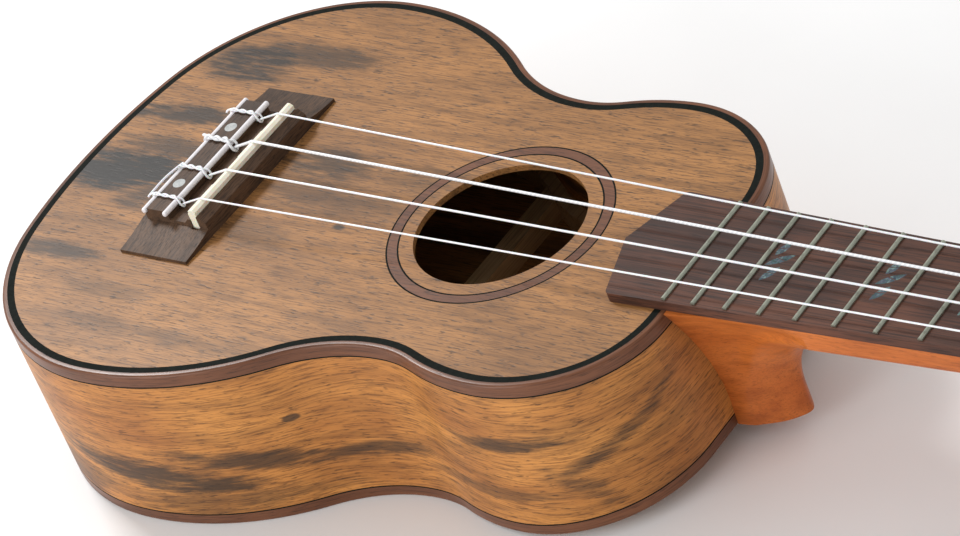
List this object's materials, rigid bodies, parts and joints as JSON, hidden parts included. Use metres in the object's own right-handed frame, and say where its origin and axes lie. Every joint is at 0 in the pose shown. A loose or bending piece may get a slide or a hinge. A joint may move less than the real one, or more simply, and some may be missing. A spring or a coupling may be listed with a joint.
{
  "type": "ukulele",
  "caption": "Soprano ukulele with a figured hollow wooden body, tie bridge, fretted neck, strings and geared tuners that turn.",
  "frame": {"origin": "on the outside of the back, under the middle of the body", "axes": "+X along the neck to the headstock, +Y to the bass side, +Z out of the soundboard"},
  "size_m": [0.5365, 0.1852, 0.0719],
  "materials": {
    "top_wood": "satin",
    "side_wood": "satin",
    "rosewood": "satin",
    "binding_rosewood": "satin",
    "black_fibre": "satin",
    "spruce": "bare",
    "mahogany": "satin",
    "bone": "polished",
    "white_strip": "smooth",
    "nickel_silver": "polished",
    "shell": "polished",
    "pearl": "polished",
    "string": "smooth",
    "plated_steel": "plated",
    "brass": "cut",
    "screw_steel": "plated",
    "button": "polished"
  },
  "bodies": {
    "instrument": {"back": "side_wood", "back_binding": "binding_rosewood", "back_braces": "spruce", "back_lining": "spruce", "back_side_line": "black_fibre", "back_strip": "spruce", "bridge": "rosewood", "bridge_dots": "pearl", "bridge_plate": "spruce", "cross_braces": "spruce", "end_graft": "binding_rosewood", "faceplate": "rosewood", "fan_braces": "spruce", "fretboard": "rosewood", "frets": "nickel_silver", "front_tie_strip": "white_strip", "headstock": "mahogany", "heel_block": "mahogany", "inlays": "shell", "neck_block": "spruce", "neck_dowels": "spruce", "neck_shaft": "mahogany", "nut": "bone", "rear_tie_strip": "white_strip", "rosette_lines": "black_fibre", "rosette_ring": "binding_rosewood", "saddle": "bone", "side_bass": "side_wood", "side_dots": "pearl", "side_treble": "side_wood", "soundboard": "top_wood", "string_a": "string", "string_c": "string", "string_e": "string", "string_g": "string", "tail_block": "spruce", "top_binding": "binding_rosewood", "top_lining": "spruce", "top_purfling": "black_fibre", "top_side_line": "black_fibre", "tuner_bushings": "plated_steel", "tuner_plates": "plated_steel", "tuner_screws": "screw_steel"},
    "knob_a": {"worm_a": "plated_steel", "button_a": "button"},
    "spindle_a": {"post_a": "plated_steel", "wheel_a": "brass"},
    "knob_g": {"worm_g": "plated_steel", "button_g": "button"},
    "spindle_g": {"post_g": "plated_steel", "wheel_g": "brass"},
    "knob_e": {"worm_e": "plated_steel", "button_e": "button"},
    "spindle_e": {"post_e": "plated_steel", "wheel_e": "brass"},
    "knob_c": {"worm_c": "plated_steel", "button_c": "button"},
    "spindle_c": {"post_c": "plated_steel", "wheel_c": "brass"}
  },
  "joints": [
    {"name": "knob_turn_a", "type": "hinge", "parent": "instrument", "child": "knob_a", "pos_m": [0.34349, -0.0165, 0.03657], "axis": [0, -1, 0], "continuous": true},
    {"name": "spindle_turn_a", "type": "hinge", "parent": "instrument", "child": "spindle_a", "pos_m": [0.33809, -0.0165, 0.04201], "axis": [0.2079, 0, 0.9781], "continuous": true},
    {"name": "knob_turn_g", "type": "hinge", "parent": "instrument", "child": "knob_g", "pos_m": [0.34349, 0.0165, 0.03657], "axis": [0, 1, 0], "continuous": true},
    {"name": "spindle_turn_g", "type": "hinge", "parent": "instrument", "child": "spindle_g", "pos_m": [0.33809, 0.0165, 0.04201], "axis": [0.2079, 0, 0.9781], "continuous": true},
    {"name": "knob_turn_e", "type": "hinge", "parent": "instrument", "child": "knob_e", "pos_m": [0.38066, -0.0195, 0.02867], "axis": [0, -1, 0], "continuous": true},
    {"name": "spindle_turn_e", "type": "hinge", "parent": "instrument", "child": "spindle_e", "pos_m": [0.37527, -0.0195, 0.03411], "axis": [0.2079, 0, 0.9781], "continuous": true},
    {"name": "knob_turn_c", "type": "hinge", "parent": "instrument", "child": "knob_c", "pos_m": [0.38066, 0.0195, 0.02867], "axis": [0, 1, 0], "continuous": true},
    {"name": "spindle_turn_c", "type": "hinge", "parent": "instrument", "child": "spindle_c", "pos_m": [0.37527, 0.0195, 0.03411], "axis": [0.2079, 0, 0.9781], "continuous": true}
  ],
  "couplings": [
    {"joint": "spindle_turn_a", "follows": "knob_turn_a", "ratio": 0.071429},
    {"joint": "spindle_turn_g", "follows": "knob_turn_g", "ratio": -0.071429},
    {"joint": "spindle_turn_e", "follows": "knob_turn_e", "ratio": 0.071429},
    {"joint": "spindle_turn_c", "follows": "knob_turn_c", "ratio": -0.071429}
  ]
}
